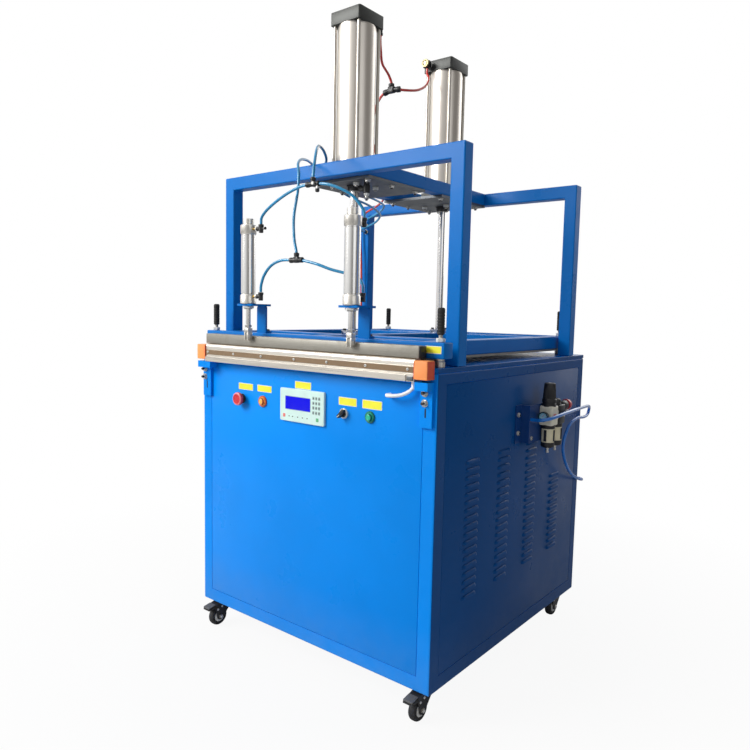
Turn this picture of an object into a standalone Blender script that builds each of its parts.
"""Vacuum compression packing machine on castors.

A sheet-metal cabinet carries a tube portal. Two air cylinders on the portal
lift and lower a press frame, and two small cylinders on the press frame close
the upper jaw of an impulse sealer onto the lower jaw at the cabinet's front.
Metres, +Z up, the operator's side faces -Y.
"""
import math

import bmesh
import bpy
from mathutils import Matrix, Vector

# Running gaps between solids
GAP = 0.0003
ROD_PLAY = 0.0006

# Cabinet
CAB_WIDTH = 0.900
CAB_DEPTH = 0.900
CAB_HEIGHT = 0.825
TABLE_THICKNESS = 0.012
CORNER_RADIUS = 0.004
COVER_INSET = 0.040
COVER_THICKNESS = 0.004
COVER_SEAM = 0.0015

# Louvers pressed into the side covers
LOUVER_LENGTH = 0.076
LOUVER_HEIGHT = 0.009
LOUVER_DEPTH = 0.006
LOUVER_PITCH = 0.0215
LOUVER_COLUMN_PITCH = 0.174
LOUVER_COLUMNS = 4
LOUVER_ROWS = 18
LOUVER_ROWS_BESIDE_AIR_UNIT = 12
LOUVER_FIRST_Y = -0.274
LOUVER_BOTTOM_Z = 0.290

# Castors
CASTOR_HEIGHT = 0.086
CASTOR_INSET = 0.045
CASTOR_TRAIL = 0.026
CASTOR_PLATE = 0.066
CASTOR_PLATE_THICKNESS = 0.003
WHEEL_RADIUS = 0.0315
WHEEL_WIDTH = 0.022
FORK_THICKNESS = 0.0025
FORK_WHEEL_PLAY = 0.002
WHEEL_SIDES = 24
AXLE_RADIUS = 0.004
AXLE_NUT_RADIUS = 0.007
AXLE_NUT_THICKNESS = 0.005
PEDAL_LENGTH = 0.030
PEDAL_WIDTH = 0.029

# Portal
TUBE = 0.040
TUBE_EDGE_RADIUS = 0.003
PORTAL_HEIGHT = 0.550
POST_SETBACK = 0.088
BEAM_OFFSET = 0.097

# Main cylinders, 100 mm bore with four tie rods
BORE = 0.100
BARREL_WALL = 0.0035
BARREL_LENGTH = 0.403
CAP_SIZE = 0.111
CAP_HEIGHT = 0.036
CAP_CHAMFER = 0.004
TIE_ROD_PITCH = 0.089
TIE_ROD_RADIUS = 0.005
TIE_NUT_RADIUS = 0.009
TIE_NUT_HEIGHT = 0.009
MAIN_ROD_RADIUS = 0.0125
PISTON_HEIGHT = 0.025
FRONT_CYLINDER_SETBACK = 0.077
REAR_CYLINDER_SETBACK = 0.092
MOUNT_PLATE_THICKNESS = 0.008
MOUNT_PLATE_SPACING = 0.096
ROD_FLANGE_RADIUS = 0.032
ROD_FLANGE_HEIGHT = 0.012
CAP_ELBOW_REACH = 0.073
FRONT_CAP_ELBOW_X = 0.028
FRONT_CAP_ELBOW_RISE = 0.0084
REAR_CAP_ELBOW_X = -0.030
REAR_CAP_ELBOW_RISE = 0.0184

# Press frame
PRESS_LIFT = 0.022
FRONT_RIM_SETBACK = 0.016
FRONT_RIM_OVERHANG = 0.004
REAR_RIM_SETBACK = 0.012
REAR_RIM_OVERHANG = 0.004
SIDE_RIM_CLEARANCE = 0.008
PRESS_SHEET_THICKNESS = 0.006

# Stop screws with black grips
STOP_SCREW_RADIUS = 0.006
STOP_FOOT_RADIUS = 0.013
STOP_NUT_RADIUS = 0.011
STOP_NUT_HEIGHT = 0.010
STOP_NECK_HEIGHT = 0.008
GRIP_RADIUS = 0.009
GRIP_LENGTH = 0.066
FRONT_STOP_INSET = 0.020
REAR_STOP_INSET = 0.010

# Jaw cylinders
JAW_CYLINDER_X = 0.199
JAW_AXIS_SETFORWARD = 0.0305
JAW_BARREL_RADIUS = 0.0210
JAW_BARREL_WALL = 0.0025
JAW_CAP_RADIUS = 0.0230
JAW_CAP_HEIGHT = 0.027
JAW_BODY_LENGTH = 0.226
JAW_BODY_SIDES = 24
JAW_TAIL_RADIUS = 0.0155
JAW_TAIL_HEIGHT = 0.018
JAW_ROD_RADIUS = 0.007
JAW_NOSE_RADIUS = 0.012
JAW_NOSE_LENGTH = 0.016
JAW_NUT_RADIUS = 0.017
JAW_NUT_HEIGHT = 0.007
JAW_PISTON_HEIGHT = 0.012
JAW_LOW_ELBOW_RISE = 0.0214
JAW_TOP_ELBOW_DROP = 0.0126
LEFT_JAW_ELBOW_REACH = 0.054
RIGHT_JAW_ELBOW_REACH = 0.0445

# Brackets of the jaw cylinders
BRACKET_WIDTH = 0.040
BRACKET_TOP_WIDTH = 0.070
BRACKET_THICKNESS = 0.006
BRACKET_HEIGHT = 0.085
BRACKET_REACH = 0.072
BRACKET_FOOT = 0.026
BRACKET_COLUMN_SETBACK = 0.004

# Sealing jaws
UPPER_JAW_OVERHANG = 0.009
UPPER_JAW_HEIGHT = 0.030
UPPER_JAW_DEPTH = 0.030
UPPER_JAW_SETFORWARD = 0.021
ROD_END_WIDTH = 0.018
ROD_END_HEIGHT = 0.036
ROD_END_OVERLAP = 0.012
JAW_CLOSED_GAP = 0.0012
JAW_END_SETBACK = 0.010
LOWER_JAW_HEIGHT = 0.055
LOWER_JAW_DEPTH = 0.0295
LOWER_JAW_LIP = 0.003
LOWER_JAW_LIP_HEIGHT = 0.018
LOWER_JAW_NOSE_RADIUS = 0.009
LOWER_JAW_TOP_ABOVE_TABLE = 0.0218
JAW_CAP_LENGTH = 0.040
JAW_CAP_BLOCK_HEIGHT = 0.046
JAW_SUPPORT_WIDTH = 0.036
JAW_SUPPORT_HEIGHT = 0.112
JAW_SUPPORT_THICKNESS = 0.008
LEFT_SHELF_WIDTH = 0.060
RIGHT_SHELF_WIDTH = 0.038
JAW_SHELF_HEIGHT = 0.020

# Controls on the front cover
DISPLAY_WIDTH = 0.172
DISPLAY_HEIGHT = 0.094
DISPLAY_THICKNESS = 0.007
DISPLAY_Z = 0.774
BUTTON_Z = 0.771
EMERGENCY_STOP_X = -0.260
LAMP_BUTTON_X = -0.167
SELECTOR_X = 0.154
START_BUTTON_X = 0.244
BEZEL_RADIUS = 0.0145
BEZEL_BORE_RADIUS = 0.0105
BEZEL_HEIGHT = 0.006
BUTTON_TRAVEL = 0.004
MUSHROOM_RADIUS = 0.020
MUSHROOM_HEIGHT = 0.012

# Air service unit on the right side
AIR_UNIT_Y = 0.070
AIR_UNIT_PITCH = 0.052
AIR_UNIT_STANDOFF = 0.052
AIR_BODY_WIDTH = 0.042
AIR_BODY_HEIGHT = 0.058
AIR_BODY_TOP_Z = 0.778
AIR_KNOB_RADIUS = 0.019
AIR_KNOB_HEIGHT = 0.0675
BOWL_RADIUS = 0.020
BOWL_HEIGHT = 0.067
DRAIN_RADIUS = 0.005
DRAIN_HEIGHT = 0.016
GAUGE_RADIUS = 0.015
GAUGE_THICKNESS = 0.014
GAUGE_STEM_LENGTH = 0.005
GAUGE_DROP = 0.030
AIR_OUTLET_RADIUS = 0.009
AIR_OUTLET_LENGTH = 0.020
AIR_BRACKET_THICKNESS = 0.003
AIR_BRACKET_HEIGHT = 0.111
AIR_BRACKET_FOOT = 0.030
AIR_BRACKET_REACH = 0.061

# Hoses
HOSE_DIAMETER = 0.008
HOSE_LEAD = 0.016
SLEEVE_DIAMETER = 0.010
AIR_HOSE_DIAMETER = 0.010
POST_STUB_LENGTH = 0.014
POST_STUB_RADIUS = 0.0065
POST_STUB_OFFSET = 0.010
POST_UPPER_STUB_DROP = 0.037
POST_LOWER_STUB_DROP = 0.061
ELBOW_RADIUS = 0.0065
ELBOW_HALF_HEIGHT = 0.012
SLEEVE_EXIT_INSET = 0.011
SLEEVE_HOLE_X = 0.309
SLEEVE_HOLE_Z = 0.836
AIR_INLET_X = 0.414
AIR_INLET_Z = 0.470

# Heights that the rest is built from
axleHeight = WHEEL_RADIUS * math.cos(math.pi / WHEEL_SIDES)
cabinetBottom = CASTOR_HEIGHT
tableTop = cabinetBottom + CAB_HEIGHT
portalTop = tableTop + PORTAL_HEIGHT
railBottom = portalTop - TUBE
rimBottom = tableTop + PRESS_LIFT
rimTop = rimBottom + TUBE
cabinetFront = -CAB_DEPTH / 2
cabinetBack = CAB_DEPTH / 2
postX = CAB_WIDTH / 2 - TUBE / 2
frontPostY = cabinetFront + POST_SETBACK + TUBE / 2
rearPostY = cabinetBack - POST_SETBACK - TUBE / 2
frontRimY = cabinetFront + FRONT_RIM_SETBACK + TUBE / 2
rearRimY = cabinetBack - REAR_RIM_SETBACK - TUBE / 2
sideRimX = CAB_WIDTH / 2 - TUBE - SIDE_RIM_CLEARANCE - TUBE / 2
frontRimLength = CAB_WIDTH + 2 * FRONT_RIM_OVERHANG
rearRimLength = 2 * (sideRimX + TUBE / 2 + REAR_RIM_OVERHANG)
frontStopX = CAB_WIDTH / 2 - FRONT_STOP_INSET
rearStopX = sideRimX - REAR_STOP_INSET
frontCylinderY = frontPostY + TUBE / 2 + FRONT_CYLINDER_SETBACK
rearCylinderY = rearPostY - TUBE / 2 - REAR_CYLINDER_SETBACK
mountPlateLength = (rearPostY - frontPostY - TUBE - MOUNT_PLATE_SPACING) / 2
headBottom = railBottom
headTop = headBottom + CAP_HEIGHT
barrelBottom = headTop + GAP
barrelTop = barrelBottom + BARREL_LENGTH
capBottom = barrelTop + GAP
mountPlateTop = railBottom - GAP
mountPlateBottom = mountPlateTop - MOUNT_PLATE_THICKNESS
jawAxisY = cabinetFront - JAW_AXIS_SETFORWARD
bracketPlateTop = rimTop + GAP + BRACKET_HEIGHT
bracketPlateBottom = bracketPlateTop - BRACKET_THICKNESS
jawBodyBottom = bracketPlateTop + GAP
lowElbowZ = jawBodyBottom + JAW_LOW_ELBOW_RISE
topElbowZ = jawBodyBottom + JAW_BODY_LENGTH - JAW_TOP_ELBOW_DROP
lowerJawLength = CAB_WIDTH - 2 * (JAW_END_SETBACK + JAW_CAP_LENGTH)
upperJawLength = lowerJawLength + 2 * UPPER_JAW_OVERHANG
lowerJawTop = tableTop + LOWER_JAW_TOP_ABOVE_TABLE
lowerJawBottom = lowerJawTop - LOWER_JAW_HEIGHT
lowerJawBack = cabinetFront - GAP
lowerJawFront = lowerJawBack - LOWER_JAW_DEPTH
upperJawBottom = lowerJawTop + JAW_CLOSED_GAP
upperJawTop = upperJawBottom + UPPER_JAW_HEIGHT
upperJawFront = cabinetFront - UPPER_JAW_SETFORWARD
rodEndBottom = upperJawTop - ROD_END_OVERLAP
rodEndTop = rodEndBottom + ROD_END_HEIGHT
airUnitX = CAB_WIDTH / 2 + AIR_UNIT_STANDOFF
airBodyBottom = AIR_BODY_TOP_Z - AIR_BODY_HEIGHT

# The origin is the middle of the machine's footprint, from rim end and jaw cylinder to the far sides
originX = (airUnitX + AIR_BODY_WIDTH / 2 - frontRimLength / 2) / 2
originY = (cabinetBack + jawAxisY - JAW_CAP_RADIUS * math.cos(math.pi / JAW_BODY_SIDES)) / 2


def clearScene():
    for obj in list(bpy.data.objects):
        bpy.data.objects.remove(obj, do_unlink=True)


def makeMaterial(name, color, roughness=0.5, metallic=0.0):
    material = bpy.data.materials.new(name)
    material.use_nodes = True
    shader = material.node_tree.nodes["Principled BSDF"]
    shader.inputs["Base Color"].default_value = (*color, 1.0)
    shader.inputs["Roughness"].default_value = roughness
    shader.inputs["Metallic"].default_value = metallic
    material.diffuse_color = (*color, 1.0)
    return material


def makeMaterials():
    return {
        "cabinetBlue": makeMaterial("cabinet_blue", (0.00, 0.18, 0.68), 0.35),
        "frameBlue": makeMaterial("frame_blue", (0.01, 0.15, 0.55), 0.38),
        "darkBlue": makeMaterial("dark_blue", (0.01, 0.07, 0.25), 0.4),
        "aluminium": makeMaterial("aluminium", (0.75, 0.73, 0.70), 0.3, 1.0),
        "steel": makeMaterial("steel", (0.62, 0.62, 0.62), 0.25, 1.0),
        "chrome": makeMaterial("chrome", (0.80, 0.80, 0.80), 0.08, 1.0),
        "galvanised": makeMaterial("galvanised", (0.30, 0.30, 0.29), 0.5, 0.7),
        "capGrey": makeMaterial("cap_grey", (0.05, 0.05, 0.045), 0.5),
        "black": makeMaterial("black", (0.015, 0.015, 0.015), 0.5),
        "orange": makeMaterial("orange", (0.85, 0.25, 0.08), 0.5),
        "mint": makeMaterial("mint", (0.60, 0.80, 0.76), 0.4),
        "red": makeMaterial("red", (0.70, 0.05, 0.06), 0.35),
        "amber": makeMaterial("amber", (0.80, 0.30, 0.05), 0.35),
        "green": makeMaterial("green", (0.02, 0.45, 0.25), 0.35),
        "cream": makeMaterial("cream", (0.70, 0.66, 0.50), 0.45),
        "wheelWhite": makeMaterial("wheel_white", (0.75, 0.75, 0.72), 0.5),
        "hoseBlue": makeMaterial("hose_blue", (0.01, 0.25, 0.50), 0.3),
        "hoseRed": makeMaterial("hose_red", (0.60, 0.04, 0.03), 0.3),
        "sleeve": makeMaterial("sleeve", (0.80, 0.80, 0.78), 0.5),
    }


def makeEmpty(name, location, parent=None):
    """An axis marker: pieces that move with it are parented to it."""
    empty = bpy.data.objects.new(name, None)
    empty.empty_display_size = 0.05
    bpy.context.scene.collection.objects.link(empty)
    empty.parent = parent
    inherited = Vector(parent["axisPoint"]) if parent else Vector((0.0, 0.0, 0.0))
    empty["axisPoint"] = tuple(location)
    empty.location = Vector(location) - inherited
    return empty


def addObject(name, bm, material, parent, bevel=0.0, segments=2):
    """Turn a bmesh drawn in the cabinet's frame into a named object."""
    bmesh.ops.recalc_face_normals(bm, faces=bm.faces)
    mesh = bpy.data.meshes.new(name)
    bm.to_mesh(mesh)
    bm.free()
    mesh.materials.append(material)
    mesh.shade_smooth()
    mesh.set_sharp_from_angle(angle=math.radians(35))
    obj = bpy.data.objects.new(name, mesh)
    bpy.context.scene.collection.objects.link(obj)
    hang(obj, parent)
    if bevel > 0:
        roundEdges(obj, bevel, segments)
    return obj


def hang(obj, parent):
    obj.parent = parent
    obj.matrix_parent_inverse = Matrix.Translation(-Vector(parent["axisPoint"]))


def roundEdges(obj, width, segments=2):
    modifier = obj.modifiers.new("RoundEdges", "BEVEL")
    modifier.width = width
    modifier.segments = segments
    modifier.limit_method = "ANGLE"
    modifier.angle_limit = math.radians(50)


def cut(obj, cutterMesh, name):
    """Subtract a cutter drawn in the cabinet's frame."""
    bmesh.ops.recalc_face_normals(cutterMesh, faces=cutterMesh.faces)
    mesh = bpy.data.meshes.new(name)
    cutterMesh.to_mesh(mesh)
    cutterMesh.free()
    cutter = bpy.data.objects.new(name, mesh)
    bpy.context.scene.collection.objects.link(cutter)
    hang(cutter, obj.parent)
    cutter.hide_render = True
    cutter.display_type = "WIRE"
    modifier = obj.modifiers.new(name, "BOOLEAN")
    modifier.operation = "DIFFERENCE"
    modifier.solver = "EXACT"
    modifier.use_self = True
    modifier.object = cutter
    return modifier


def addBox(bm, low, high):
    """A box between two corners."""
    low = Vector(low)
    high = Vector(high)
    size = high - low
    matrix = Matrix.Translation((low + high) / 2) @ Matrix.Diagonal((*size, 1.0))
    return bmesh.ops.create_cube(bm, size=1.0, matrix=matrix)["verts"]


def addPrism(bm, outline, axis, start, end):
    """Extrude a closed outline along X, Y or Z. Its points are the other two axes in order."""
    def place(point, along):
        a, b = point
        return {"X": (along, a, b), "Y": (a, along, b), "Z": (a, b, along)}[axis]

    bottom = [bm.verts.new(place(point, start)) for point in outline]
    top = [bm.verts.new(place(point, end)) for point in outline]
    bm.faces.new(bottom)
    bm.faces.new(top)
    count = len(outline)
    for i in range(count):
        j = (i + 1) % count
        bm.faces.new((bottom[i], bottom[j], top[j], top[i]))


def addTurned(bm, profile, centre, axis="Z", sides=24):
    """Revolve a profile of (radius, height) pairs about an axis through centre.

    A profile that starts and ends at radius 0 is solid, and any other closes on itself.
    """
    turn = {
        "Z": Matrix.Identity(3),
        "X": Matrix.Rotation(math.radians(90), 3, "Y"),
        "Y": Matrix.Rotation(math.radians(-90), 3, "X"),
    }[axis]
    centre = Vector(centre)
    rings = []
    for radius, height in profile:
        if radius == 0:
            rings.append([bm.verts.new(centre + turn @ Vector((0, 0, height)))])
            continue
        ring = []
        for i in range(sides):
            angle = 2 * math.pi * (i + 0.5) / sides
            point = Vector((radius * math.cos(angle), radius * math.sin(angle), height))
            ring.append(bm.verts.new(centre + turn @ point))
        rings.append(ring)
    closed = profile[0][0] > 0
    steps = len(rings) if closed else len(rings) - 1
    for k in range(steps):
        joinRings(bm, rings[k], rings[(k + 1) % len(rings)], sides)


def joinRings(bm, lower, upper, sides):
    if len(lower) == 1 and len(upper) == 1:
        return
    for i in range(sides):
        j = (i + 1) % sides
        if len(lower) == 1:
            bm.faces.new((lower[0], upper[j], upper[i]))
        elif len(upper) == 1:
            bm.faces.new((lower[i], lower[j], upper[0]))
        else:
            bm.faces.new((lower[i], lower[j], upper[j], upper[i]))


def addHexRing(bm, radius, boreRadius, bottom, top, centre):
    """A nut that stands round a stem with a small gap."""
    outer = [(radius, bottom), (radius, top), (boreRadius, top), (boreRadius, bottom)]
    addTurned(bm, outer, centre, "Z", 6)


def disc(radius, bottom, top):
    return [(0, bottom), (radius, bottom), (radius, top), (0, top)]


def smoothRoute(route, spacing):
    """Evenly spaced points on a smooth curve, with a straight lead at both ends."""
    points = [Vector(point) for point in route]
    dense = []
    for k in range(1, len(points) - 2):
        before, start, end, after = points[k - 1:k + 3]
        for step in range(24):
            t = step / 24
            dense.append(0.5 * (2 * start + (end - before) * t
                                + (2 * before - 5 * start + 4 * end - after) * t * t
                                + (3 * start - before - 3 * end + after) * t ** 3))
    dense.append(points[-2])
    total = sum((b - a).length for a, b in zip(dense, dense[1:]))
    count = max(3, round(total / spacing))
    wanted = total / count
    result = [points[0], dense[0]]
    walked = 0.0
    for a, b in zip(dense, dense[1:]):
        span = (b - a).length
        while len(result) <= count and walked + span >= wanted * (len(result) - 1):
            t = (wanted * (len(result) - 1) - walked) / span
            result.append(a.lerp(b, t))
        walked += span
    return result + [dense[-1], points[-1]]


def addHose(name, route, diameter, material, parent):
    points = smoothRoute(route, 2.2 * diameter)
    curve = bpy.data.curves.new(name, "CURVE")
    curve.dimensions = "3D"
    curve.bevel_depth = diameter / 2
    curve.bevel_resolution = 2
    curve.use_fill_caps = True
    spline = curve.splines.new("POLY")
    spline.points.add(len(points) - 1)
    for target, point in zip(spline.points, points):
        target.co = (*point, 1.0)
    curve.materials.append(material)
    obj = bpy.data.objects.new(name, curve)
    bpy.context.scene.collection.objects.link(obj)
    hang(obj, parent)
    return obj


def buildCabinet(materials, root):
    """Closed sheet-metal housing with its castor pads and the lower jaw's supports."""
    bodyTop = tableTop - TABLE_THICKNESS - GAP
    half = CAB_WIDTH / 2
    low = cabinetBottom + COVER_INSET
    high = tableTop - COVER_INSET
    reach = half - COVER_INSET
    bm = bmesh.new()
    addBox(bm, (-half, cabinetFront, cabinetBottom), (half, cabinetBack, bodyTop))
    body = addObject("cabinet_body", bm, materials["cabinetBlue"], root, CORNER_RADIUS)
    cut(body, coverPockets(low, high, reach), "cover_pockets")
    union(body, castorPads(), "castor_pads")
    union(body, jawSupports(), "jaw_supports")
    union(body, jawSupportBosses(reach), "jaw_support_bosses")

    bm = bmesh.new()
    addBox(bm, (-half, cabinetFront, bodyTop + GAP), (half, cabinetBack, tableTop))
    addObject("table_top", bm, materials["cabinetBlue"], root, 0.002)
    buildCovers(materials, root, low, high, reach)


def coverPockets(low, high, reach):
    """Shallow recesses that take the front cover and the two side covers."""
    pockets = bmesh.new()
    half = CAB_WIDTH / 2
    depth = COVER_THICKNESS + GAP
    for side in (-1, 1):
        ends = sorted((side * (half - depth), side * (half + 0.01)))
        addBox(pockets, (ends[0], -reach, low), (ends[1], reach, high))
    addBox(pockets, (-reach, cabinetFront - 0.01, low), (reach, cabinetFront + depth, high))
    return pockets


def castorPads():
    pads = bmesh.new()
    half = CASTOR_PLATE / 2
    for x, y in castorPlaces().values():
        high = (x + half, y + half, cabinetBottom + 0.001)
        addBox(pads, (x - half, y - half, cabinetBottom - CASTOR_PLATE_THICKNESS), high)
    return pads


def jawSupports():
    """Shelves under the lower jaw's ends and the plates that carry them."""
    supports = bmesh.new()
    shelfTop = lowerJawBottom - GAP
    outerX = lowerJawLength / 2 + JAW_CAP_LENGTH
    plateFront = lowerJawBack - JAW_SUPPORT_THICKNESS
    for side, width in ((-1, LEFT_SHELF_WIDTH), (1, RIGHT_SHELF_WIDTH)):
        outline = [
            (outerX, shelfTop), (outerX - width, shelfTop),
            (outerX - width, shelfTop - JAW_SHELF_HEIGHT),
            (outerX - JAW_SUPPORT_WIDTH, shelfTop - JAW_SHELF_HEIGHT),
            (outerX - JAW_SUPPORT_WIDTH, shelfTop - JAW_SUPPORT_HEIGHT),
            (outerX, shelfTop - JAW_SUPPORT_HEIGHT),
        ]
        addPrism(supports, [(side * x, z) for x, z in outline], "Y", plateFront, lowerJawBack)
        ends = sorted((side * outerX, side * (outerX - width)))
        low = (ends[0], lowerJawFront, shelfTop - JAW_SHELF_HEIGHT)
        addBox(supports, low, (ends[1], plateFront + 0.001, shelfTop))
    return supports


def jawSupportBosses(reach):
    """Pads beside the front cover that join the supports to the housing."""
    bosses = bmesh.new()
    outerX = lowerJawLength / 2 + JAW_CAP_LENGTH
    top = lowerJawBottom - JAW_SHELF_HEIGHT
    bottom = lowerJawBottom - JAW_SUPPORT_HEIGHT + 0.005
    for side in (-1, 1):
        ends = sorted((side * (reach + 0.002), side * (outerX - 0.002)))
        low = (ends[0], lowerJawBack - 0.002, bottom)
        addBox(bosses, low, (ends[1], cabinetFront + 0.002, top))
    return bosses


def buildCovers(materials, root, low, high, reach):
    half = CAB_WIDTH / 2
    edge = reach - COVER_SEAM
    bottom = low + COVER_SEAM
    top = high - COVER_SEAM
    bm = bmesh.new()
    addBox(bm, (-edge, cabinetFront, bottom), (edge, cabinetFront + COVER_THICKNESS, top))
    front = addObject("front_cover", bm, materials["cabinetBlue"], root)
    union(front, buttonBezels(), "button_bezels")
    for name, side in (("left_cover", -1), ("right_cover", 1)):
        outer = side * half
        ends = sorted((outer, outer - side * COVER_THICKNESS))
        bm = bmesh.new()
        addBox(bm, (ends[0], -edge, bottom), (ends[1], edge, top))
        cover = addObject(name, bm, materials["cabinetBlue"], root)
        union(cover, louverHoods(side, outer), name + "_louvers")


def buttonBezels():
    """Rings on the front cover that the buttons slide in."""
    rings = bmesh.new()
    ring = [
        (BEZEL_BORE_RADIUS, 0.002), (BEZEL_RADIUS, 0.002), (BEZEL_RADIUS, 0.001 - BEZEL_HEIGHT),
        (BEZEL_RADIUS - 0.001, -BEZEL_HEIGHT), (BEZEL_BORE_RADIUS, -BEZEL_HEIGHT),
    ]
    for x in (EMERGENCY_STOP_X, LAMP_BUTTON_X, SELECTOR_X, START_BUTTON_X):
        addTurned(rings, ring, (x, cabinetFront, BUTTON_Z), "Y", 24)
    return rings


def louverHoods(side, face):
    """Columns of pressed hoods on the cover's outer face."""
    hoods = bmesh.new()
    root = face - side * COVER_THICKNESS / 2
    tip = face + side * LOUVER_DEPTH
    for column in range(LOUVER_COLUMNS):
        besideAirUnit = side > 0 and column == LOUVER_COLUMNS - 1
        rows = LOUVER_ROWS_BESIDE_AIR_UNIT if besideAirUnit else LOUVER_ROWS
        start = LOUVER_FIRST_Y + column * LOUVER_COLUMN_PITCH - LOUVER_LENGTH / 2
        for row in range(rows):
            z = LOUVER_BOTTOM_Z + row * LOUVER_PITCH
            outline = [(root, z), (tip, z), (face, z + LOUVER_HEIGHT), (root, z + LOUVER_HEIGHT)]
            addLouver(hoods, outline, start, start + LOUVER_LENGTH)
    return hoods


def addLouver(bm, outline, start, end):
    """A wedge whose ends slope in towards its upper edge."""
    slope = LOUVER_HEIGHT / 2
    near = [start, start + slope, start + slope, start]
    far = [end, end - slope, end - slope, end]
    left = [bm.verts.new((x, y, z)) for (x, z), y in zip(outline, near)]
    right = [bm.verts.new((x, y, z)) for (x, z), y in zip(outline, far)]
    bm.faces.new(left)
    bm.faces.new(right)
    for i in range(4):
        j = (i + 1) % 4
        bm.faces.new((left[i], left[j], right[j], right[i]))


def castorPlaces():
    x = CAB_WIDTH / 2 - CASTOR_INSET
    y = CAB_DEPTH / 2 - CASTOR_INSET
    return {
        "front_left": (-x, -y),
        "front_right": (x, -y),
        "rear_left": (-x, y),
        "rear_right": (x, y),
    }


def buildCastors(materials, root):
    headTop = cabinetBottom - CASTOR_PLATE_THICKNESS - GAP
    for place, (x, y) in castorPlaces().items():
        swivel = makeEmpty(place + "_swivel_axis", (x, y, headTop), root)
        buildFork(place, x, y, headTop, materials, swivel)
        axleY = y - CASTOR_TRAIL
        axle = makeEmpty(place + "_wheel_axis", (x, axleY, axleHeight), swivel)
        buildWheel(place, x, axleY, materials, axle)


def buildFork(place, x, y, top, materials, swivel):
    """Swivel head, two cheeks that rake back to the axle, and the brake pedal."""
    inner = WHEEL_WIDTH / 2 + FORK_WHEEL_PLAY
    outer = inner + FORK_THICKNESS
    axleY = y - CASTOR_TRAIL
    crown = top - 0.006
    bm = bmesh.new()
    addTurned(bm, disc(0.024, 0, 0.006), (x, y, crown), "Z", 24)
    head = addObject(place + "_fork", bm, materials["black"], swivel)
    shell = bmesh.new()
    bridge = crown + 0.002
    cheek = [
        (y + 0.020, bridge),
        (y + 0.012, bridge - 0.022),
        (axleY + 0.011, axleHeight - 0.006),
        (axleY, axleHeight - 0.012),
        (axleY - 0.011, axleHeight - 0.006),
        (axleY - 0.020, bridge - 0.020),
        (axleY - 0.022, bridge - 0.006),
        (y - 0.022, bridge),
    ]
    addPrism(shell, cheek, "X", x - outer, x + outer)
    channelTop = crown - 0.004
    union(head, shell, place + "_cheeks")
    channel = bmesh.new()
    addBox(channel, (x - inner, y - 0.2, 0), (x + inner, y + 0.2, channelTop))
    cut(head, channel, place + "_channel")
    bore = bmesh.new()
    axleHole = disc(AXLE_RADIUS + GAP, -2 * outer, 2 * outer)
    addTurned(bore, axleHole, (x, axleY, axleHeight), "X", 24)
    cut(head, bore, place + "_axle_bore")
    pedal = bmesh.new()
    pedalTop = bridge - 0.007
    pedalRoot = axleY - 0.016
    outline = [
        (pedalRoot, pedalTop - 0.010),
        (pedalRoot, pedalTop),
        (pedalRoot - PEDAL_LENGTH, pedalTop - 0.005),
        (pedalRoot - PEDAL_LENGTH, pedalTop - 0.010),
    ]
    addPrism(pedal, outline, "X", x - PEDAL_WIDTH / 2, x + PEDAL_WIDTH / 2)
    union(head, pedal, place + "_pedal")


def union(obj, extra, name):
    """Fuse another shape, drawn in the cabinet's frame, into an object."""
    modifier = cut(obj, extra, name)
    modifier.operation = "UNION"


def buildWheel(place, x, y, materials, axle):
    """Wheel with its axle, which shows as a nut outside each cheek."""
    half = WHEEL_WIDTH / 2
    cheek = half + FORK_WHEEL_PLAY + FORK_THICKNESS + GAP
    nut = cheek + AXLE_NUT_THICKNESS
    side = [
        (AXLE_NUT_RADIUS, nut), (AXLE_NUT_RADIUS, cheek), (AXLE_RADIUS, cheek),
        (AXLE_RADIUS, half), (WHEEL_RADIUS - 0.003, half), (WHEEL_RADIUS, half - 0.003),
    ]
    mirrored = [(radius, -along) for radius, along in reversed(side)]
    profile = [(0, nut), *side, *mirrored, (0, -nut)]
    bm = bmesh.new()
    addTurned(bm, profile, (x, y, axleHeight), "X", WHEEL_SIDES)
    addObject(place + "_wheel", bm, materials["wheelWhite"], axle)


def buildPortal(materials, root):
    """Front and rear frames welded from tube, and the two beams between them."""
    bottom = tableTop + GAP
    half = TUBE / 2
    outer = postX + half
    inner = postX - half
    frame = [
        (-outer, bottom), (-inner, bottom), (-inner, railBottom), (inner, railBottom),
        (inner, bottom), (outer, bottom), (outer, portalTop), (-outer, portalTop),
    ]
    for name, y in (("front_portal_frame", frontPostY), ("rear_portal_frame", rearPostY)):
        bm = bmesh.new()
        addPrism(bm, frame, "Y", y - half, y + half)
        portal = addObject(name, bm, materials["frameBlue"], root, TUBE_EDGE_RADIUS)
    addPostStubs(portal)
    start = frontPostY + half + GAP
    end = rearPostY - half - GAP
    for name, x in (("left_beam", -BEAM_OFFSET), ("right_beam", BEAM_OFFSET)):
        bm = bmesh.new()
        addBox(bm, (x - half, start, railBottom), (x + half, end, portalTop))
        addObject(name, bm, materials["frameBlue"], root, TUBE_EDGE_RADIUS)


def addPostStubs(portal):
    """Screwed-in hose ends on the rear left post."""
    stubs = bmesh.new()
    for stub in (POST_UPPER_STUB, POST_LOWER_STUB):
        addTurned(stubs, disc(POST_STUB_RADIUS, -POST_STUB_LENGTH, 0.003), stub, "Y", 14)
    union(portal, stubs, "post_stubs")


def tieRodPlaces(cylinderY):
    half = TIE_ROD_PITCH / 2
    return [(sx * half, cylinderY + sy * half) for sx in (-1, 1) for sy in (-1, 1)]


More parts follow.
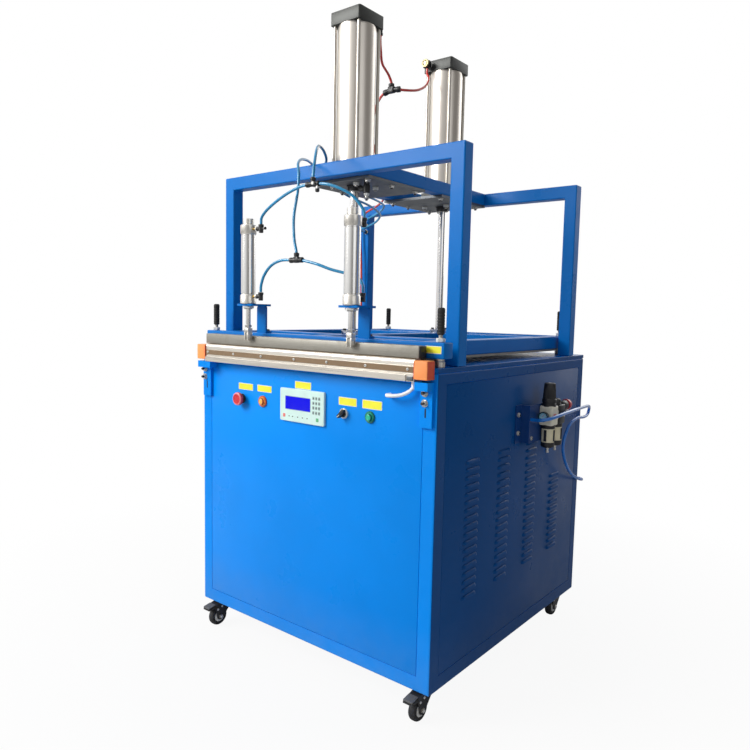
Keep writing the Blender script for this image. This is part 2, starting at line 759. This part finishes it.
def buildMountPlate(name, cylinderY, start, materials, root):
    """Steel plate under both beams that carries one main cylinder."""
    width = BEAM_OFFSET + TUBE / 2
    bm = bmesh.new()
    high = (width, start + mountPlateLength, mountPlateTop)
    addBox(bm, (-width, start, mountPlateBottom), high)
    plate = addObject(name, bm, materials["galvanised"], root)
    cut(plate, rodAndBoltHoles(cylinderY, mountPlateBottom, MOUNT_PLATE_THICKNESS), name + "_holes")


def rodAndBoltHoles(cylinderY, bottom, thickness):
    holes = bmesh.new()
    bore = disc(MAIN_ROD_RADIUS + ROD_PLAY, -0.01, thickness + 0.01)
    addTurned(holes, bore, (0, cylinderY, bottom), "Z", 24)
    bolt = disc(TIE_ROD_RADIUS + GAP, -0.01, thickness + 0.01)
    for x, y in tieRodPlaces(cylinderY):
        addTurned(holes, bolt, (x, y, bottom), "Z", 12)
    return holes


def capOutline(cylinderY):
    half = CAP_SIZE / 2
    inner = half - CAP_CHAMFER
    return [
        (half, cylinderY - inner), (half, cylinderY + inner), (inner, cylinderY + half),
        (-inner, cylinderY + half), (-half, cylinderY + inner), (-half, cylinderY - inner),
        (-inner, cylinderY - half), (inner, cylinderY - half),
    ]


def buildMainCylinder(side, cylinderY, materials, root):
    """Head on the mounting plate, barrel, and the end cap with its four tie rods."""
    bm = bmesh.new()
    addPrism(bm, capOutline(cylinderY), "Z", headBottom, headTop)
    head = addObject(side + "_cylinder_head", bm, materials["capGrey"], root)
    cut(head, rodAndBoltHoles(cylinderY, headBottom, CAP_HEIGHT), side + "_head_holes")

    inner = BORE / 2
    outer = inner + BARREL_WALL
    wall = [(outer, 0), (outer, BARREL_LENGTH), (inner, BARREL_LENGTH), (inner, 0)]
    bm = bmesh.new()
    addTurned(bm, wall, (0, cylinderY, barrelBottom), "Z", 40)
    addObject(side + "_cylinder_barrel", bm, materials["aluminium"], root)

    bm = bmesh.new()
    addPrism(bm, capOutline(cylinderY), "Z", capBottom, capBottom + CAP_HEIGHT)
    cap = addObject(side + "_cylinder_cap", bm, materials["capGrey"], root, 0.0015)
    nutTop = mountPlateBottom - GAP
    length = capBottom + CAP_HEIGHT / 2 - nutTop
    tieRod = [
        (0, -TIE_NUT_HEIGHT), (TIE_NUT_RADIUS, -TIE_NUT_HEIGHT), (TIE_NUT_RADIUS, 0),
        (TIE_ROD_RADIUS, 0), (TIE_ROD_RADIUS, length), (0, length),
    ]
    tieRods = bmesh.new()
    for x, y in tieRodPlaces(cylinderY):
        addTurned(tieRods, tieRod, (x, y, nutTop), "Z", 12)
    union(cap, tieRods, side + "_tie_rods")
    elbow, face = (FRONT_CAP_ELBOW, 1) if side == "front" else (REAR_CAP_ELBOW, -1)
    centre = Vector(elbow)
    body = bmesh.new()
    addTurned(body, disc(ELBOW_RADIUS, -ELBOW_HALF_HEIGHT, ELBOW_HALF_HEIGHT), centre, "Z", 14)
    stem = bmesh.new()
    capFace = cylinderY + face * (CAP_SIZE / 2 - 0.002)
    ends = sorted((0, capFace - centre.y))
    addTurned(stem, disc(ELBOW_RADIUS * 0.8, *ends), centre, "Y", 12)
    union(cap, stem, side + "_cap_stem")
    union(cap, body, side + "_cap_elbow")


def buildMainRod(name, cylinderY, materials, press):
    """Rod with a flange on the press frame and a piston inside the barrel."""
    flangeBottom = rimTop + GAP
    pistonBottom = barrelBottom + 0.004 - flangeBottom
    pistonTop = pistonBottom + PISTON_HEIGHT
    pistonRadius = BORE / 2 - ROD_PLAY
    profile = [
        (0, 0), (ROD_FLANGE_RADIUS, 0), (ROD_FLANGE_RADIUS, ROD_FLANGE_HEIGHT),
        (MAIN_ROD_RADIUS, ROD_FLANGE_HEIGHT), (MAIN_ROD_RADIUS, pistonBottom),
        (pistonRadius, pistonBottom), (pistonRadius, pistonTop), (0, pistonTop),
    ]
    bm = bmesh.new()
    addTurned(bm, profile, (0, cylinderY, flangeBottom), "Z", 32)
    addObject(name, bm, materials["chrome"], press)


def buildPressFrame(materials, press):
    """Rims of tube, ribs between them and the sheet that presses the goods."""
    half = TUBE / 2
    frontInner = frontRimY + half + GAP
    rearInner = rearRimY - half - GAP
    bm = bmesh.new()
    length = frontRimLength / 2
    addBox(bm, (-length, frontRimY - half, rimBottom), (length, frontRimY + half, rimTop))
    front = addObject("press_front_rim", bm, materials["frameBlue"], press, TUBE_EDGE_RADIUS)
    addJawBrackets(front)
    union(front, stopScrews(frontStopX, frontRimY), "front_stop_screws")
    bm = bmesh.new()
    length = rearRimLength / 2
    addBox(bm, (-length, rearRimY - half, rimBottom), (length, rearRimY + half, rimTop))
    rear = addObject("press_rear_rim", bm, materials["frameBlue"], press, TUBE_EDGE_RADIUS)
    union(rear, stopScrews(rearStopX, rearRimY), "rear_stop_screws")
    for name, x in (("press_left_rim", -sideRimX), ("press_right_rim", sideRimX)):
        bm = bmesh.new()
        addBox(bm, (x - half, frontInner, rimBottom), (x + half, rearInner, rimTop))
        addObject(name, bm, materials["frameBlue"], press, TUBE_EDGE_RADIUS)
    bm = bmesh.new()
    addPrism(bm, ribOutline(frontInner, rearInner), "Z", rimBottom, rimTop)
    addObject("press_ribs", bm, materials["frameBlue"], press, TUBE_EDGE_RADIUS)
    bm = bmesh.new()
    sheetTop = rimBottom - GAP
    reach = sideRimX + half
    low = (-reach, frontRimY - half, sheetTop - PRESS_SHEET_THICKNESS)
    addBox(bm, low, (reach, rearInner, sheetTop))
    addObject("press_sheet", bm, materials["steel"], press)


def ribOutline(start, end):
    """A rib from front to rear, crossed by one under each main cylinder."""
    half = TUBE / 2
    reach = sideRimX - half - GAP
    right = [(half, start)]
    for y in (frontCylinderY, rearCylinderY):
        right += [(half, y - half), (reach, y - half), (reach, y + half), (half, y + half)]
    right.append((half, end))
    return right + [(-x, y) for x, y in reversed(right)]


def stopScrews(stopX, y):
    """Threaded stops through a rim: foot below, lock nut and hand grip on top."""
    footBottom = tableTop + GAP
    footTop = rimBottom - footBottom + 0.001
    nutBottom = rimTop - footBottom - 0.001
    nutTop = nutBottom + STOP_NUT_HEIGHT
    gripBottom = nutTop + STOP_NECK_HEIGHT
    gripTop = gripBottom + GRIP_LENGTH
    profile = [
        (0, 0), (STOP_FOOT_RADIUS - 0.001, 0), (STOP_FOOT_RADIUS, 0.001),
        (STOP_FOOT_RADIUS, footTop), (STOP_SCREW_RADIUS, footTop),
        (STOP_SCREW_RADIUS, nutBottom), (STOP_NUT_RADIUS, nutBottom), (STOP_NUT_RADIUS, nutTop),
        (STOP_SCREW_RADIUS, nutTop), (STOP_SCREW_RADIUS, gripBottom), (GRIP_RADIUS, gripBottom),
        (GRIP_RADIUS, gripTop - 0.002), (GRIP_RADIUS - 0.002, gripTop), (0, gripTop),
    ]
    screws = bmesh.new()
    for x in (-stopX, stopX):
        addTurned(screws, profile, (x, y, footBottom), "Z", 14)
    return screws


def addJawBrackets(rim):
    """Columns welded on the front rim, with the shelves that hold the jaw cylinders."""
    columnFront = frontRimY - TUBE / 2 + BRACKET_COLUMN_SETBACK
    columnBack = columnFront + BRACKET_THICKNESS
    base = rimTop - 0.001
    shelfFront = columnBack - BRACKET_REACH
    half = BRACKET_WIDTH / 2
    reach = BRACKET_TOP_WIDTH / 2
    columns = bmesh.new()
    shelves = bmesh.new()
    feet = bmesh.new()
    holes = bmesh.new()
    for x in (-JAW_CYLINDER_X, JAW_CYLINDER_X):
        top = bracketPlateTop - BRACKET_THICKNESS / 2
        addBox(columns, (x - half, columnFront, base), (x + half, columnBack, top))
        low = (x - reach, shelfFront, bracketPlateBottom)
        addBox(shelves, low, (x + reach, columnBack, bracketPlateTop))
        high = (x + half - 0.002, columnFront + BRACKET_FOOT, rimTop + BRACKET_THICKNESS)
        addBox(feet, (x - half + 0.002, columnFront + 0.001, base), high)
        nose = disc(JAW_NOSE_RADIUS + GAP, -0.01, BRACKET_THICKNESS + 0.01)
        addTurned(holes, nose, (x, jawAxisY, bracketPlateBottom), "Z", 20)
    union(rim, columns, "bracket_columns")
    union(rim, shelves, "bracket_shelves")
    union(rim, feet, "bracket_feet")
    cut(rim, holes, "bracket_holes")


def buildJawCylinders(materials, press):
    """Round bodies with rolled-in caps, tail boss, threaded nose and its nut."""
    shoulder = JAW_BODY_LENGTH - JAW_CAP_HEIGHT
    top = JAW_BODY_LENGTH
    boreRadius = JAW_ROD_RADIUS + ROD_PLAY
    chamber = JAW_BARREL_RADIUS - JAW_BARREL_WALL
    profile = [
        (boreRadius, -JAW_NOSE_LENGTH), (JAW_NOSE_RADIUS, -JAW_NOSE_LENGTH),
        (JAW_NOSE_RADIUS, 0), (JAW_CAP_RADIUS - 0.001, 0), (JAW_CAP_RADIUS, 0.001),
        (JAW_CAP_RADIUS, JAW_CAP_HEIGHT), (JAW_BARREL_RADIUS, JAW_CAP_HEIGHT),
        (JAW_BARREL_RADIUS, shoulder), (JAW_CAP_RADIUS, shoulder),
        (JAW_CAP_RADIUS, top - 0.001), (JAW_CAP_RADIUS - 0.001, top),
        (JAW_TAIL_RADIUS, top), (JAW_TAIL_RADIUS, top + JAW_TAIL_HEIGHT),
        (boreRadius, top + JAW_TAIL_HEIGHT), (boreRadius, top - 0.012),
        (chamber, top - 0.012), (chamber, JAW_CAP_HEIGHT), (boreRadius, JAW_CAP_HEIGHT),
    ]
    nutTop = bracketPlateBottom - GAP
    nutBottom = nutTop - JAW_NUT_HEIGHT
    nutBore = (JAW_NOSE_RADIUS + boreRadius) / 2
    for name, x, elbows in (
        ("left_jaw_cylinder", -JAW_CYLINDER_X, (LEFT_TOP_ELBOW, LEFT_LOW_ELBOW)),
        ("right_jaw_cylinder", JAW_CYLINDER_X, (RIGHT_TOP_ELBOW, RIGHT_LOW_ELBOW)),
    ):
        bm = bmesh.new()
        addTurned(bm, profile, (x, jawAxisY, jawBodyBottom), "Z", JAW_BODY_SIDES)
        cylinder = addObject(name, bm, materials["aluminium"], press)
        nut = bmesh.new()
        addHexRing(nut, JAW_NUT_RADIUS, nutBore, nutBottom, nutTop, (x, jawAxisY, 0))
        union(cylinder, nut, name + "_nut")
        addElbows(cylinder, name, x, elbows)


def addElbows(cylinder, name, x, elbows):
    """Hose elbows screwed into a jaw cylinder's two end caps."""
    bodies = bmesh.new()
    stems = bmesh.new()
    for elbow in elbows:
        centre = Vector(elbow)
        outline = disc(ELBOW_RADIUS, -ELBOW_HALF_HEIGHT, ELBOW_HALF_HEIGHT)
        addTurned(bodies, outline, centre, "Z", 14)
        axis = "X" if abs(centre.x - x) > abs(centre.y - jawAxisY) else "Y"
        reach = (centre - Vector((x, jawAxisY, centre.z))).length
        stem = disc(ELBOW_RADIUS * 0.8, JAW_CAP_RADIUS - 0.001, reach)
        addTurned(stems, stem, (x, jawAxisY, centre.z), axis, 12)
    union(cylinder, stems, name + "_elbow_stems")
    union(cylinder, bodies, name + "_elbows")


def buildUpperJaw(materials, jaw):
    """Bar, and the two piston rods whose end blocks are bolted to its front."""
    half = upperJawLength / 2
    front = upperJawFront
    back = front + UPPER_JAW_DEPTH
    bm = bmesh.new()
    addBox(bm, (-half, front, upperJawBottom), (half, back, upperJawTop))
    addObject("upper_jaw_bar", bm, materials["galvanised"], jaw, 0.001)
    blockBack = front - GAP
    blockFront = blockBack - ROD_END_WIDTH
    width = ROD_END_WIDTH / 2
    rodTop = jawBodyBottom + JAW_CAP_HEIGHT + 0.004
    pistonTop = rodTop + JAW_PISTON_HEIGHT
    pistonRadius = JAW_BARREL_RADIUS - JAW_BARREL_WALL - ROD_PLAY
    profile = [
        (0, rodEndTop - 0.010), (JAW_ROD_RADIUS, rodEndTop - 0.010), (JAW_ROD_RADIUS, rodTop),
        (pistonRadius, rodTop), (pistonRadius, pistonTop), (0, pistonTop),
    ]
    for name, x in (("left_jaw_rod", -JAW_CYLINDER_X), ("right_jaw_rod", JAW_CYLINDER_X)):
        bm = bmesh.new()
        addBox(bm, (x - width, blockFront, rodEndBottom), (x + width, blockBack, rodEndTop))
        block = addObject(name, bm, materials["steel"], jaw)
        shaft = bmesh.new()
        addTurned(shaft, profile, (x, jawAxisY, 0), "Z", 20)
        union(block, shaft, name + "_shaft")


def buildLowerJaw(materials, root):
    half = lowerJawLength / 2
    front = lowerJawFront
    radius = LOWER_JAW_NOSE_RADIUS
    lipTop = lowerJawBottom + LOWER_JAW_LIP_HEIGHT
    nose = [
        (front + radius - radius * math.cos(angle), lowerJawTop - radius + radius * math.sin(angle))
        for angle in (math.radians(15 * k) for k in range(7))
    ]
    outline = [
        (lowerJawBack, lowerJawBottom), (front - LOWER_JAW_LIP, lowerJawBottom),
        (front - LOWER_JAW_LIP, lipTop), (front, lipTop), *nose, (lowerJawBack, lowerJawTop),
    ]
    bm = bmesh.new()
    addPrism(bm, outline, "X", -half, half)
    addObject("lower_jaw_bar", bm, materials["aluminium"], root)

    capTop = lowerJawTop - 0.003
    for name, side in (("left_jaw_end_cap", -1), ("right_jaw_end_cap", 1)):
        ends = sorted((side * (half + GAP), side * (half + JAW_CAP_LENGTH)))
        low = (ends[0], front - LOWER_JAW_LIP, capTop - JAW_CAP_BLOCK_HEIGHT)
        bm = bmesh.new()
        addBox(bm, low, (ends[1], lowerJawBack, capTop))
        addObject(name, bm, materials["orange"], root, 0.0015)


def buildControls(materials, root):
    face = cabinetFront - GAP
    bm = bmesh.new()
    low = (-DISPLAY_WIDTH / 2, face - DISPLAY_THICKNESS, DISPLAY_Z - DISPLAY_HEIGHT / 2)
    addBox(bm, low, (DISPLAY_WIDTH / 2, face, DISPLAY_Z + DISPLAY_HEIGHT / 2))
    addObject("display_unit", bm, materials["mint"], root, 0.0015)
    buttons = {
        "emergency_stop": EMERGENCY_STOP_X, "lamp_button": LAMP_BUTTON_X,
        "selector_knob": SELECTOR_X, "start_button": START_BUTTON_X,
    }
    for name, x in buttons.items():
        axis = makeEmpty(name + "_axis", (x, face, BUTTON_Z), root)
        BUTTON_BUILDERS[name](name, x, face, materials, axis)


def stemProfile():
    """Button stem inside its bezel, kept clear of the cover by the travel."""
    radius = BEZEL_BORE_RADIUS - ROD_PLAY
    return [(0, BUTTON_TRAVEL + 0.001), (radius, BUTTON_TRAVEL + 0.001)], radius


def buildEmergencyStop(name, x, face, materials, axis):
    start, radius = stemProfile()
    under = BEZEL_HEIGHT + BUTTON_TRAVEL + 0.002
    top = under + MUSHROOM_HEIGHT
    profile = start + [
        (radius, under), (MUSHROOM_RADIUS - 0.002, under), (MUSHROOM_RADIUS, under + 0.003),
        (MUSHROOM_RADIUS - 0.001, top - 0.004), (MUSHROOM_RADIUS - 0.006, top - 0.001), (0, top),
    ]
    bm = bmesh.new()
    addTurned(bm, [(r, -h) for r, h in profile], (x, face, BUTTON_Z), "Y", 28)
    addObject(name, bm, materials["red"], axis)


def buildPushButton(name, x, face, materials, axis):
    start, radius = stemProfile()
    top = BEZEL_HEIGHT + BUTTON_TRAVEL + 0.001
    profile = start + [(radius, top - 0.001), (radius - 0.001, top), (0, top)]
    bm = bmesh.new()
    addTurned(bm, [(r, -h) for r, h in profile], (x, face, BUTTON_Z), "Y", 24)
    color = "amber" if name == "lamp_button" else "green"
    addObject(name, bm, materials[color], axis)


def buildSelector(name, x, face, materials, axis):
    start, radius = stemProfile()
    base = BEZEL_HEIGHT + 0.002
    bm = bmesh.new()
    profile = [(0, 0.001), (radius, 0.001), (radius, base), (0, base)]
    addTurned(bm, [(r, -h) for r, h in profile], (x, face, BUTTON_Z), "Y", 24)
    knob = addObject(name, bm, materials["black"], axis)
    handle = bmesh.new()
    low = (x - 0.004, face - base - 0.010, BUTTON_Z - BEZEL_RADIUS)
    addBox(handle, low, (x + 0.004, face - base + 0.001, BUTTON_Z + BEZEL_RADIUS))
    union(knob, handle, name + "_handle")


BUTTON_BUILDERS = {
    "emergency_stop": buildEmergencyStop,
    "lamp_button": buildPushButton,
    "selector_knob": buildSelector,
    "start_button": buildPushButton,
}


def buildAirUnit(materials, root):
    """Filter regulator and lubricator side by side on a bent wall bracket."""
    half = AIR_BODY_WIDTH / 2
    lubricatorY = AIR_UNIT_Y + AIR_UNIT_PITCH
    inner = CAB_WIDTH / 2 + GAP
    outer = airUnitX - half - GAP
    sheet = AIR_BRACKET_THICKNESS
    web = AIR_UNIT_Y - half - AIR_BRACKET_REACH
    outline = [
        (inner, web - AIR_BRACKET_FOOT), (inner + sheet, web - AIR_BRACKET_FOOT),
        (inner + sheet, web), (outer, web), (outer, AIR_UNIT_Y + half),
        (outer - sheet, AIR_UNIT_Y + half), (outer - sheet, web + sheet), (inner, web + sheet),
    ]
    top = AIR_BODY_TOP_Z + 0.005
    bm = bmesh.new()
    addPrism(bm, outline, "Z", top - AIR_BRACKET_HEIGHT, top)
    addObject("air_unit_bracket", bm, materials["darkBlue"], root)

    bodies = bmesh.new()
    bowls = bmesh.new()
    bottom = -BOWL_HEIGHT
    profile = [
        (0, bottom - DRAIN_HEIGHT), (DRAIN_RADIUS, bottom - DRAIN_HEIGHT),
        (DRAIN_RADIUS, bottom), (BOWL_RADIUS - 0.005, bottom),
        (BOWL_RADIUS, bottom + 0.006), (BOWL_RADIUS, 0.002), (0, 0.002),
    ]
    for y in (AIR_UNIT_Y, lubricatorY):
        low = (airUnitX - half, y - half, airBodyBottom)
        addBox(bodies, low, (airUnitX + half, y + half, AIR_BODY_TOP_Z))
        addTurned(bowls, profile, (airUnitX, y, airBodyBottom), "Z", 24)
    unit = addObject("air_service_unit", bodies, materials["cream"], root)
    link = bmesh.new()
    inset = AIR_BODY_HEIGHT / 4
    low = (airUnitX - half + 0.008, AIR_UNIT_Y, airBodyBottom + inset)
    addBox(link, low, (airUnitX + half - 0.008, lubricatorY, AIR_BODY_TOP_Z - inset))
    union(unit, link, "air_unit_link")
    union(unit, bowls, "air_unit_bowls")
    knobs = bmesh.new()
    knobProfile = [
        (0, -0.002), (AIR_KNOB_RADIUS + 0.002, -0.002), (AIR_KNOB_RADIUS + 0.002, 0.020),
        (AIR_KNOB_RADIUS, 0.024), (AIR_KNOB_RADIUS - 0.001, AIR_KNOB_HEIGHT - 0.003),
        (AIR_KNOB_RADIUS - 0.004, AIR_KNOB_HEIGHT), (0, AIR_KNOB_HEIGHT),
    ]
    addTurned(knobs, knobProfile, (airUnitX, AIR_UNIT_Y, AIR_BODY_TOP_Z), "Z", 24)
    domeProfile = [(0, -0.002), (0.014, -0.002), (0.014, 0.012), (0.010, 0.018), (0, 0.018)]
    addTurned(knobs, domeProfile, (airUnitX, lubricatorY, AIR_BODY_TOP_Z), "Z", 20)
    union(unit, knobs, "air_unit_knobs")
    addGaugeAndOutlet(unit, AIR_UNIT_Y - half, lubricatorY + half)


def addGaugeAndOutlet(unit, gaugeY, outletY):
    """Pressure gauge towards the operator, and the hose outlet at the far end."""
    z = AIR_BODY_TOP_Z - GAUGE_DROP
    face = GAUGE_STEM_LENGTH + GAUGE_THICKNESS
    gauge = bmesh.new()
    profile = [
        (0, -0.003), (GAUGE_RADIUS / 2, -0.003), (GAUGE_RADIUS / 2, GAUGE_STEM_LENGTH),
        (GAUGE_RADIUS, GAUGE_STEM_LENGTH + 0.002), (GAUGE_RADIUS, face),
        (GAUGE_RADIUS - 0.0015, face), (GAUGE_RADIUS - 0.0025, face - 0.001), (0, face - 0.001),
    ]
    addTurned(gauge, [(radius, -along) for radius, along in profile], (airUnitX, gaugeY, z), "Y", 20)
    union(unit, gauge, "air_unit_gauge")
    outlet = bmesh.new()
    addTurned(outlet, disc(AIR_OUTLET_RADIUS, -0.003, AIR_OUTLET_LENGTH), (airUnitX, outletY, z), "Y", 14)
    union(unit, outlet, "air_unit_outlet")


# Hose routes, through these points in the cabinet's frame
UPPER_TEE = (0.057, -0.480, 1.376)
LOWER_TEE = (-0.012, -0.470, 1.180)
RED_TEE = (-0.020, -0.050, 1.741)
LEFT_TOP_ELBOW = (LEFT_JAW_ELBOW_REACH - JAW_CYLINDER_X, jawAxisY, topElbowZ)
LEFT_LOW_ELBOW = (LEFT_JAW_ELBOW_REACH - JAW_CYLINDER_X, jawAxisY, lowElbowZ)
RIGHT_TOP_ELBOW = (JAW_CYLINDER_X, jawAxisY + RIGHT_JAW_ELBOW_REACH, topElbowZ)
RIGHT_LOW_ELBOW = (JAW_CYLINDER_X, jawAxisY + RIGHT_JAW_ELBOW_REACH, lowElbowZ)
FRONT_CAP_ELBOW = (FRONT_CAP_ELBOW_X, frontCylinderY + CAP_ELBOW_REACH, capBottom + FRONT_CAP_ELBOW_RISE)
REAR_CAP_ELBOW = (REAR_CAP_ELBOW_X, rearCylinderY - CAP_ELBOW_REACH, capBottom + REAR_CAP_ELBOW_RISE)
POST_UPPER_STUB = (POST_STUB_OFFSET - postX, rearPostY - TUBE / 2, railBottom - POST_UPPER_STUB_DROP)
POST_LOWER_STUB = (POST_STUB_OFFSET - postX, rearPostY - TUBE / 2, railBottom - POST_LOWER_STUB_DROP)
LEFT = (-1, 0, 0)
RIGHT = (1, 0, 0)
UP = (0, 0, 1)
DOWN = (0, 0, -1)
FRONT = (0, -1, 0)
BACK = (0, 1, 0)


def lead(port, direction, distance=0.0):
    """A hose end's first two points, straight out of a port's face."""
    start = Vector(port) + Vector(direction) * (distance + GAP)
    return [start, start + Vector(direction) * HOSE_LEAD]


def leadInto(port, direction, distance=0.0):
    return lead(port, direction, distance)[::-1]


def buildPressHoses(materials, press):
    """Hoses between the tees and the jaw cylinders' elbows."""
    top = ELBOW_HALF_HEIGHT
    routes = {
        "left_raise_hose": [
            *lead(UPPER_TEE, LEFT), (0.010, -0.480, 1.374), (-0.041, -0.480, 1.360),
            (-0.089, -0.480, 1.340), (-0.125, -0.480, 1.320), *leadInto(LEFT_TOP_ELBOW, UP, top),
        ],
        "right_raise_hose": [
            *lead(UPPER_TEE, RIGHT), (0.108, -0.476, 1.371), (0.146, -0.466, 1.357),
            (0.176, -0.450, 1.336), *leadInto(RIGHT_TOP_ELBOW, UP, top),
        ],
        "left_lower_hose": [
            *lead(LOWER_TEE, LEFT), (-0.070, -0.471, 1.181), (-0.107, -0.475, 1.168),
            (-0.133, -0.479, 1.140), *leadInto(LEFT_LOW_ELBOW, UP, top),
        ],
        "right_lower_hose": [
            *lead(LOWER_TEE, RIGHT), (0.060, -0.467, 1.168), (0.104, -0.456, 1.153),
            (0.148, -0.442, 1.142), (0.184, -0.436, 1.130), *leadInto(RIGHT_LOW_ELBOW, UP, top),
        ],
    }
    for name, route in routes.items():
        addHose(name, route, HOSE_DIAMETER, materials["hoseBlue"], press)


def buildFixedHoses(materials, root):
    """Supply hoses from the rear post to the tees, the red cylinder hoses and the rest."""
    side = HOSE_DIAMETER / 2
    stub = POST_STUB_LENGTH
    blueRoutes = {
        "raise_supply_hose": [
            *lead(UPPER_TEE, UP, side), (0.052, -0.470, 1.432), (0.034, -0.445, 1.470),
            (0.004, -0.405, 1.496), (-0.030, -0.350, 1.500), (-0.062, -0.302, 1.488),
            (-0.104, -0.262, 1.476), (-0.140, -0.210, 1.458), (-0.154, -0.100, 1.438),
            (-0.170, 0.050, 1.432), (-0.215, 0.170, 1.428), (-0.290, 0.240, 1.418),
            (-0.360, 0.266, 1.404), (-0.404, 0.270, 1.391), *leadInto(POST_UPPER_STUB, FRONT, stub),
        ],
        "lower_supply_hose": [
            *lead(LOWER_TEE, UP, side), (-0.026, -0.466, 1.240), (-0.034, -0.460, 1.300),
            (-0.028, -0.452, 1.370), (-0.033, -0.444, 1.420), (-0.056, -0.424, 1.452),
            (-0.082, -0.384, 1.474), (-0.106, -0.330, 1.481), (-0.138, -0.262, 1.472),
            (-0.158, -0.190, 1.448), (-0.172, -0.080, 1.424), (-0.190, 0.060, 1.410),
            (-0.232, 0.170, 1.398), (-0.300, 0.236, 1.384), (-0.364, 0.262, 1.372),
            (-0.404, 0.268, 1.364), *leadInto(POST_LOWER_STUB, FRONT, stub),
        ],
    }
    for name, route in blueRoutes.items():
        addHose(name, route, HOSE_DIAMETER, materials["hoseBlue"], root)
    drop = ELBOW_HALF_HEIGHT
    redRoutes = {
        "front_cap_hose": [
            *lead(FRONT_CAP_ELBOW, DOWN, drop), (0.018, -0.156, 1.822), (-0.006, -0.118, 1.800),
            (-0.019, -0.070, 1.784), *leadInto(RED_TEE, UP, side),
        ],
        "rear_cap_hose": [
            *lead(RED_TEE, RIGHT), (0.016, -0.020, 1.742), (0.018, 0.040, 1.758),
            (0.010, 0.096, 1.788), (-0.010, 0.140, 1.826), *leadInto(REAR_CAP_ELBOW, DOWN, drop),
        ],
        "red_supply_hose": [
            *lead(RED_TEE, LEFT), (-0.062, -0.052, 1.726), (-0.079, -0.062, 1.680),
            (-0.081, -0.066, 1.596), (-0.073, -0.040, 1.524), (-0.080, 0.000, 1.488),
            (-0.112, 0.040, 1.474), (-0.160, 0.105, 1.460), (-0.240, 0.195, 1.450),
            (-0.330, 0.262, 1.442), (-0.400, 0.288, 1.426), (-0.436, 0.304, 1.388),
            (-0.438, 0.306, 1.330), (-0.430, 0.305, 1.240), (-0.426, 0.305, 1.120),
            (-0.426, 0.306, 1.000), *leadInto((-0.426, 0.306, tableTop), UP),
        ],
    }
    for name, route in redRoutes.items():
        addHose(name, route, HOSE_DIAMETER, materials["hoseRed"], root)
    sleeveRoute = [
        *lead((lowerJawLength / 2 - SLEEVE_EXIT_INSET, -0.466, lowerJawBottom), DOWN),
        (0.378, -0.469, 0.851),
        (0.356, -0.471, 0.841), (0.330, -0.474, 0.837),
        *leadInto((SLEEVE_HOLE_X, cabinetFront, SLEEVE_HOLE_Z), FRONT),
    ]
    addHose("heater_sleeve", sleeveRoute, SLEEVE_DIAMETER, materials["sleeve"], root)
    bracketFace = airUnitX - AIR_BODY_WIDTH / 2 - GAP
    airRoute = [
        *lead((bracketFace, -0.004, 0.742), RIGHT), (0.514, -0.010, 0.744),
        (0.532, 0.000, 0.748), (0.540, 0.034, 0.752), (0.541, 0.092, 0.756),
        (0.532, 0.190, 0.756), (0.512, 0.300, 0.750), (0.488, 0.400, 0.742),
        (0.472, 0.464, 0.734), (0.462, 0.492, 0.718), (0.462, 0.478, 0.702),
        (0.468, 0.430, 0.700), (0.472, 0.360, 0.704), (0.474, 0.300, 0.690),
        (0.475, 0.262, 0.655), (0.475, 0.252, 0.615), (0.474, 0.282, 0.565),
        (0.470, 0.340, 0.520), (0.466, 0.410, 0.490), (0.458, 0.468, 0.474),
        (0.440, 0.496, 0.470), (0.420, 0.490, 0.470),
        *leadInto((AIR_INLET_X, cabinetBack, AIR_INLET_Z), BACK),
    ]
    addHose("air_hose", airRoute, AIR_HOSE_DIAMETER, materials["hoseBlue"], root)


def main():
    clearScene()
    materials = makeMaterials()
    root = makeEmpty("machine_origin", (0.0, 0.0, 0.0))
    root.location = (-originX, -originY, 0.0)
    buildCabinet(materials, root)
    buildCastors(materials, root)
    buildPortal(materials, root)
    start = frontPostY + TUBE / 2 + GAP
    buildMountPlate("front_mount_plate", frontCylinderY, start, materials, root)
    start = rearPostY - TUBE / 2 - GAP - mountPlateLength
    buildMountPlate("rear_mount_plate", rearCylinderY, start, materials, root)
    buildMainCylinder("front", frontCylinderY, materials, root)
    buildMainCylinder("rear", rearCylinderY, materials, root)
    buildLowerJaw(materials, root)
    buildControls(materials, root)
    buildAirUnit(materials, root)
    buildFixedHoses(materials, root)

    press = makeEmpty("press_axis", (0.0, 0.0, rimBottom), root)
    buildPressFrame(materials, press)
    buildMainRod("front_main_rod", frontCylinderY, materials, press)
    buildMainRod("rear_main_rod", rearCylinderY, materials, press)
    buildJawCylinders(materials, press)
    buildPressHoses(materials, press)
    jaw = makeEmpty("upper_jaw_axis", (0.0, jawAxisY, upperJawBottom), press)
    buildUpperJaw(materials, jaw)


main()
